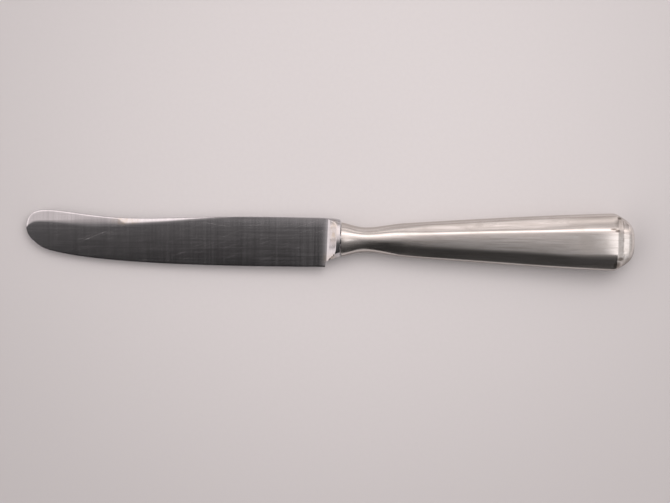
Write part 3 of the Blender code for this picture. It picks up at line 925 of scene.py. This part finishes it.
below_step = remap(tree, places["X"], STEP_DIRT_STARTS, STEP_DIRT_FULL, 0.0, 1.0, smooth=True)
before_cap = remap(tree, places["X"], STEP_DIRT_FADES, STEP_DIRT_ENDS, 1.0, 0.0, smooth=True)
dirt = remap(tree, lines(tree, DIRT_GRAINS), DIRT_STARTS, DIRT_FULL, 0.0, DIRT_SHARE)
tarnish_and_spots = sums(tree, "MULTIPLY", sums(tree, "MULTIPLY", below_step, before_cap), dirt)
for corner, reach, depth in DARK_END_SPOTS:
    patch = remap(tree, spot(tree, corner, reach), 0.0, SPOT_FULL, 0.0, depth, smooth=True)
    tarnish_and_spots = sums(tree, "MAXIMUM", tarnish_and_spots, patch)
colour = blend_colours(tree, tarnish_and_spots, colour, TARNISH_AND_SPOT_COLOUR)
dents = sums(tree, "ADD", sums(tree, "MULTIPLY", brushing, BRUSH_DENT), soft_brushing)
finish_metal(tree, shader, colour, roughness, dents, SILVER_DENTS)
print("silver nodes:", len(tree.nodes))

# %% [markdown]
# ## Solder and cement
# Filed solder is a yellower, rougher silver. The cement inside the handle is a grainy mix of
# resin and brick dust. It shows only where a handle is opened, but a repair scene may do that.

# %% Solder and cement
SOLDER_DARK, SOLDER_LIGHT = (0.74, 0.70, 0.61, 1.0), (0.84, 0.81, 0.74, 1.0)
FILE_LINES, FILE_ROUGHNESS = (260.0, 260.0, 5200.0), (0.24, 0.40)
CEMENT_DARK, CEMENT_LIGHT = (0.36, 0.29, 0.22, 1.0), (0.56, 0.49, 0.41, 1.0)
CEMENT_GRAINS = (2500.0, 2500.0, 2500.0)
CEMENT_ROUGHNESS = 0.9
CEMENT_DENTS, CEMENT_DENT_DEPTH = 0.5, 0.0001

solder, tree, shader = new_material("filed silver solder")
filing = lines(tree, FILE_LINES)
colour = blend_colours(tree, filing, SOLDER_DARK, SOLDER_LIGHT)
tree.links.new(colour, shader.inputs["Base Color"])
tree.links.new(from_noise(tree, filing, *FILE_ROUGHNESS), shader.inputs["Roughness"])
shader.inputs["Metallic"].default_value = 1.0

cement, tree, shader = new_material("handle cement")
grains = lines(tree, CEMENT_GRAINS, detail=5.0)
pale_grains = remap(tree, grains, 0.35, 0.65, 0.0, 1.0)
colour = blend_colours(tree, pale_grains, CEMENT_DARK, CEMENT_LIGHT)
tree.links.new(colour, shader.inputs["Base Color"])
shader.inputs["Roughness"].default_value = CEMENT_ROUGHNESS
settings = {"Height": grains, "Strength": CEMENT_DENTS, "Distance": CEMENT_DENT_DEPTH}
bump = add(tree, "ShaderNodeBump", settings)
tree.links.new(bump.outputs["Normal"], shader.inputs["Normal"])
print("materials:", [m.name for m in (steel, silver, solder, cement)])

# %% [markdown]
# ## Dressing the frame
# Each finished mesh is laid on the table, gets its material and takes the place of its CAD
# solid. Faces that meet at a sharp angle stay crisp, and all others shade smoothly. The
# knife has no moving joint, so every piece rides on the one body.

# %% Finished pieces
CRISP_ANGLE = math.radians(40.0)


def finish_piece(bm, name, node, material):
    """Lay a mesh on the table and let it stand for a solid of the frame."""
    bmesh.ops.transform(bm, matrix=lay_down, verts=bm.verts)
    bmesh.ops.recalc_face_normals(bm, faces=bm.faces)
    mesh = bpy.data.meshes.new(name)
    bm.to_mesh(mesh)
    bm.free()
    mesh.shade_smooth()
    mesh.set_sharp_from_angle(angle=CRISP_ANGLE)
    mesh.materials.append(material)
    piece = bpy.data.objects.new(name, mesh)
    bpy.context.scene.collection.objects.link(piece)
    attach(piece, "root")
    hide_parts(node)
    print(name, "has", len(mesh.polygons), "faces")
    return piece


finish_piece(blade_mesh, "ground_blade", "blade", steel)
finish_piece(front_mesh, "front_shell", "handle_front_half", silver)
finish_piece(back_mesh, "back_shell", "handle_back_half", silver)
finish_piece(seam_mesh, "solder_line", "seam_solder", solder)
for material_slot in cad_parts["handle_cement"].material_slots:
    material_slot.material = cement

# %% [markdown]
# ## The table
# A sheet of pale matt card, slightly warm. Painted shade greys it away from its middle, where
# the light falls off. It is large enough that no view shows its end.

# %% Pale card
TABLE_HALF = 5.0
CARD_DARK, CARD_LIGHT = (0.70, 0.684, 0.686, 1.0), (0.73, 0.714, 0.716, 1.0)
# Painted shade: the card greys away from its middle, where the light falls off.
CARD_PAINTED_FALLOFF = (0.558, 0.546, 0.548, 1.0)
LIGHT_POOL_MIDDLE = (0.0, 0.03, 0.0)
FALLOFF_STARTS, FALLOFF_FULL = 0.02, 0.16
CARD_FIBRES = (900.0, 900.0, 900.0)
CARD_ROUGHNESS = 0.75
CARD_SHEEN = 0.2

card, tree, shader = new_material("pale matt card")
fibres = lines(tree, CARD_FIBRES, detail=5.0)
colour = blend_colours(tree, fibres, CARD_DARK, CARD_LIGHT)
from_middle = add(
    tree, "ShaderNodeVectorMath", {0: object_places(tree), 1: LIGHT_POOL_MIDDLE}, operation="DISTANCE"
).outputs["Value"]
painted_falloff = remap(tree, from_middle, FALLOFF_STARTS, FALLOFF_FULL, 0.0, 1.0, smooth=True)
colour = blend_colours(tree, painted_falloff, colour, CARD_PAINTED_FALLOFF)
tree.links.new(colour, shader.inputs["Base Color"])
shader.inputs["Roughness"].default_value = CARD_ROUGHNESS
shader.inputs["Specular IOR Level"].default_value = CARD_SHEEN

bm = bmesh.new()
bmesh.ops.create_grid(bm, x_segments=4, y_segments=4, size=TABLE_HALF)
table_mesh = bpy.data.meshes.new("table")
bm.to_mesh(table_mesh)
bm.free()
table_mesh.materials.append(card)
table = bpy.data.objects.new("table", table_mesh)
bpy.context.scene.collection.objects.link(table)
print("table:", 2 * TABLE_HALF, "m square")

# %% [markdown]
# ## The light
# Metal shows its surroundings more than its own colour, so the studio matters as much as the
# finish. The knife lies in a light tent that is open towards the viewer: bright cloth to the
# left, right and behind, a dark room in front, and a dull patch overhead where the camera
# looks in. The world paints that tent by direction, and the metal mirrors it: the bright line
# along the handle is the brightest strip of cloth behind. One softbox, behind and to the right,
# lights the table and casts the shadow in front. The metal doesn't mirror the softbox.

# %% Tent and softbox
BACK_TINT = (1.0, 0.915, 0.907, 1.0)
FRONT_TINT = (1.0, 0.952, 0.957, 1.0)
TINT_FRONT, TINT_BACK = -0.02, 0.12
TINT_RIGHT, TINT_LEFT = -0.3, -0.6
BRIGHTEST = 2.0
ROOF = [
    (-90, 0.30), (-82, 0.22), (-76, 0.055), (-70, 0.042), (-60, 0.045), (-50, 0.057),
    (-40, 0.084), (-32, 0.122), (-25, 0.16), (-18, 0.20), (-11, 0.255), (-5, 0.295),
    (0, 0.33), (5, 0.44), (10, 0.60), (15, 0.823), (20, 0.97), (25, 1.14), (30, 1.57),
    (35, 1.64), (40, 1.28), (45, 0.82), (50, 0.57), (56, 0.50), (59, 0.75), (62, 1.10),
    (65, 0.75), (69, 0.45), (75, 0.50), (82, 0.56), (90, 0.60),
]
DARKEST_ROOF = 0.030
BACK_ENDS, BACK_ENDED = 0.35, 0.6
BEYOND_BACK = 0.6
WALLS = [
    (-90, 1.3), (-72, 1.14), (-61, 1.3), (-52, 1.1), (-42, 1.5), (-34, 1.0), (-27, 0.85),
    (-20, 0.6), (-15, 0.5), (0, 0.6), (12, 1.2), (20, 1.02), (30, 0.95), (45, 0.58),
    (72, 0.5), (90, 0.45),
]
RIGHT_WALL_STARTS, RIGHT_WALL_FULL = 0.04, 0.15
RIGHT_WALL_SLANT = 0.90
RIGHT_WALL_LOW, RIGHT_WALL_HIGH = 0.0, 0.5
LEFT_WALL_STARTS, LEFT_WALL_FULL = -0.205, -0.42
FAR_RIGHT_STARTS, FAR_RIGHT_FULL = 0.30, 0.50
FAR_RIGHT_SHARE = 0.75
OPENING_STARTS, OPENING_FULL = -0.45, -0.75
LEFT_WALL_SLANT = 0.25
SHADE_STARTS, SHADE_FULL = 0.0, -0.04
SHADE_BACK, SHADE_MIDDLE, SHADE_FRONT = 0.06, -0.12, -0.30
MIDDLE_SHADE, DEEPEST_SHADE = 0.40, 0.15
FRONT_STARTS = 0.06
WHITE = (1.0, 1.0, 1.0, 1.0)


def by_angle(tree, component, levels):
    """Light along one axis of the sky: degrees from straight up, and the level there."""
    ramp = add(tree, "ShaderNodeValToRGB", {"Fac": remap(tree, component, -1.0, 1.0, 0.0, 1.0)})
    elements = ramp.color_ramp.elements
    while len(elements) < len(levels):
        elements.new(0.5)
    for element, (angle, light) in zip(elements, levels):
        share = light / BRIGHTEST
        element.position = (math.sin(math.radians(angle)) + 1.0) / 2.0
        element.color = (share, share, share, 1.0)
    return ramp.outputs["Color"]


world = bpy.data.worlds.new("light tent")
bpy.context.scene.world = world
world.use_nodes = True
tree = world.node_tree
background = tree.nodes["Background"]
direction = add(tree, "ShaderNodeTexCoord").outputs["Generated"]
parts = add(tree, "ShaderNodeSeparateXYZ", {"Vector": direction}).outputs
shade = remap(tree, parts["Y"], SHADE_MIDDLE, SHADE_BACK, MIDDLE_SHADE, 1.0)
front_shade = remap(tree, parts["Y"], SHADE_FRONT, SHADE_MIDDLE, DEEPEST_SHADE, 1.0)
shade = sums(tree, "MULTIPLY", shade, front_shade)
shade_share = remap(tree, parts["X"], SHADE_FULL, SHADE_STARTS, 1.0, 0.0, smooth=True)
shade = blend_colours(tree, shade_share, WHITE, shade)
roof = sums(tree, "MULTIPLY", by_angle(tree, parts["Y"], ROOF), shade)
roof = sums(tree, "MAXIMUM", roof, DARKEST_ROOF / BRIGHTEST)
back_end = remap(tree, parts["X"], BACK_ENDS, BACK_ENDED, 1.0, BEYOND_BACK)
roof = sums(tree, "MULTIPLY", roof, back_end)
low_front = sums(tree, "MINIMUM", sums(tree, "ADD", parts["Y"], FRONT_STARTS), 0.0)
slant = sums(tree, "MULTIPLY", low_front, RIGHT_WALL_SLANT)
slanted = sums(tree, "ADD", parts["X"], slant)
right_share = remap(tree, slanted, RIGHT_WALL_STARTS, RIGHT_WALL_FULL, 0.0, 1.0)
far_right = remap(tree, parts["X"], FAR_RIGHT_STARTS, FAR_RIGHT_FULL, 0.0, FAR_RIGHT_SHARE)
right_share = sums(tree, "MAXIMUM", right_share, far_right)
right_height = remap(tree, parts["Y"], RIGHT_WALL_LOW, RIGHT_WALL_HIGH, 1.0, 0.0)
right_share = sums(tree, "MULTIPLY", right_share, right_height)
left_slant = sums(tree, "MULTIPLY", low_front, LEFT_WALL_SLANT)
left_slanted = sums(tree, "SUBTRACT", parts["X"], left_slant)
left_share = remap(tree, left_slanted, LEFT_WALL_FULL, LEFT_WALL_STARTS, 1.0, 0.0)
opening = remap(tree, parts["Y"], OPENING_FULL, OPENING_STARTS, 0.0, 1.0, smooth=True)
walls = by_angle(tree, parts["X"], WALLS)
left_wall = sums(tree, "MULTIPLY", sums(tree, "MULTIPLY", left_share, opening), walls)
level = sums(tree, "MAXIMUM", blend_colours(tree, right_share, roof, walls), left_wall)
tint_share = remap(tree, parts["Y"], TINT_FRONT, TINT_BACK, 0.0, 1.0)
left_tint = remap(tree, parts["X"], TINT_LEFT, TINT_RIGHT, 1.0, 0.0)
tint_share = sums(tree, "MAXIMUM", tint_share, left_tint)
cloth = blend_colours(tree, tint_share, FRONT_TINT, BACK_TINT)
tint = add(tree, "ShaderNodeVectorMath", {0: cloth, 1: level}, operation="MULTIPLY")
tree.links.new(tint.outputs["Vector"], background.inputs["Color"])
background.inputs["Strength"].default_value = BRIGHTEST

SOFTBOX_DISTANCE = 0.55
SOFTBOX_BACK = math.radians(26.0)
SOFTBOX_RIGHT = math.radians(22.0)
SOFTBOX_SIZE = (0.46, 0.46)
SOFTBOX_RADIANCE = 1.76
SOFTBOX_TINT = (1.0, 0.95, 0.94)
softbox = bpy.data.lights.new("softbox", "AREA")
softbox.shape = "RECTANGLE"
softbox.size, softbox.size_y = SOFTBOX_SIZE
softbox.color = SOFTBOX_TINT
softbox.energy = SOFTBOX_RADIANCE * math.pi * SOFTBOX_SIZE[0] * SOFTBOX_SIZE[1]
softbox_lamp = bpy.data.objects.new("softbox", softbox)
softbox_lamp.matrix_world = (
    Matrix.Rotation(SOFTBOX_RIGHT, 4, "Y")
    @ Matrix.Rotation(-SOFTBOX_BACK, 4, "X")
    @ Matrix.Translation((0.0, 0.0, SOFTBOX_DISTANCE))
)
softbox_lamp.visible_camera = False
softbox_lamp.visible_glossy = False
bpy.context.scene.collection.objects.link(softbox_lamp)
print("softbox power:", round(softbox.energy, 2), "W")

# %% [markdown]
# ## The camera
# The picture looks down on the knife from about half a metre, a few degrees towards the spine
# side, and the knife lies very slightly askew in it.

# %% Camera over the table
IMAGE_WIDTH_MM = 187.98
CAMERA_DISTANCE = 0.50
CAMERA_TILT = math.radians(3.6)
CAMERA_ROLL = math.radians(0.4955)
AIM = Vector((0.00155, -0.00342, 0.0025))
SENSOR_WIDTH = 36.0

camera_data = bpy.data.cameras.new("camera")
camera_data.sensor_width = SENSOR_WIDTH
camera_data.lens = SENSOR_WIDTH * CAMERA_DISTANCE / (IMAGE_WIDTH_MM * MILLIMETRE)
camera = bpy.data.objects.new("camera", camera_data)
camera.matrix_world = (
    Matrix.Translation(AIM)
    @ Matrix.Rotation(CAMERA_ROLL, 4, "Z")
    @ Matrix.Rotation(-CAMERA_TILT, 4, "X")
    @ Matrix.Translation((0.0, 0.0, CAMERA_DISTANCE))
)
bpy.context.scene.collection.objects.link(camera)
bpy.context.scene.camera = camera
bpy.context.scene.view_settings.view_transform = "Standard"
print("lens:", round(camera_data.lens, 1), "mm")
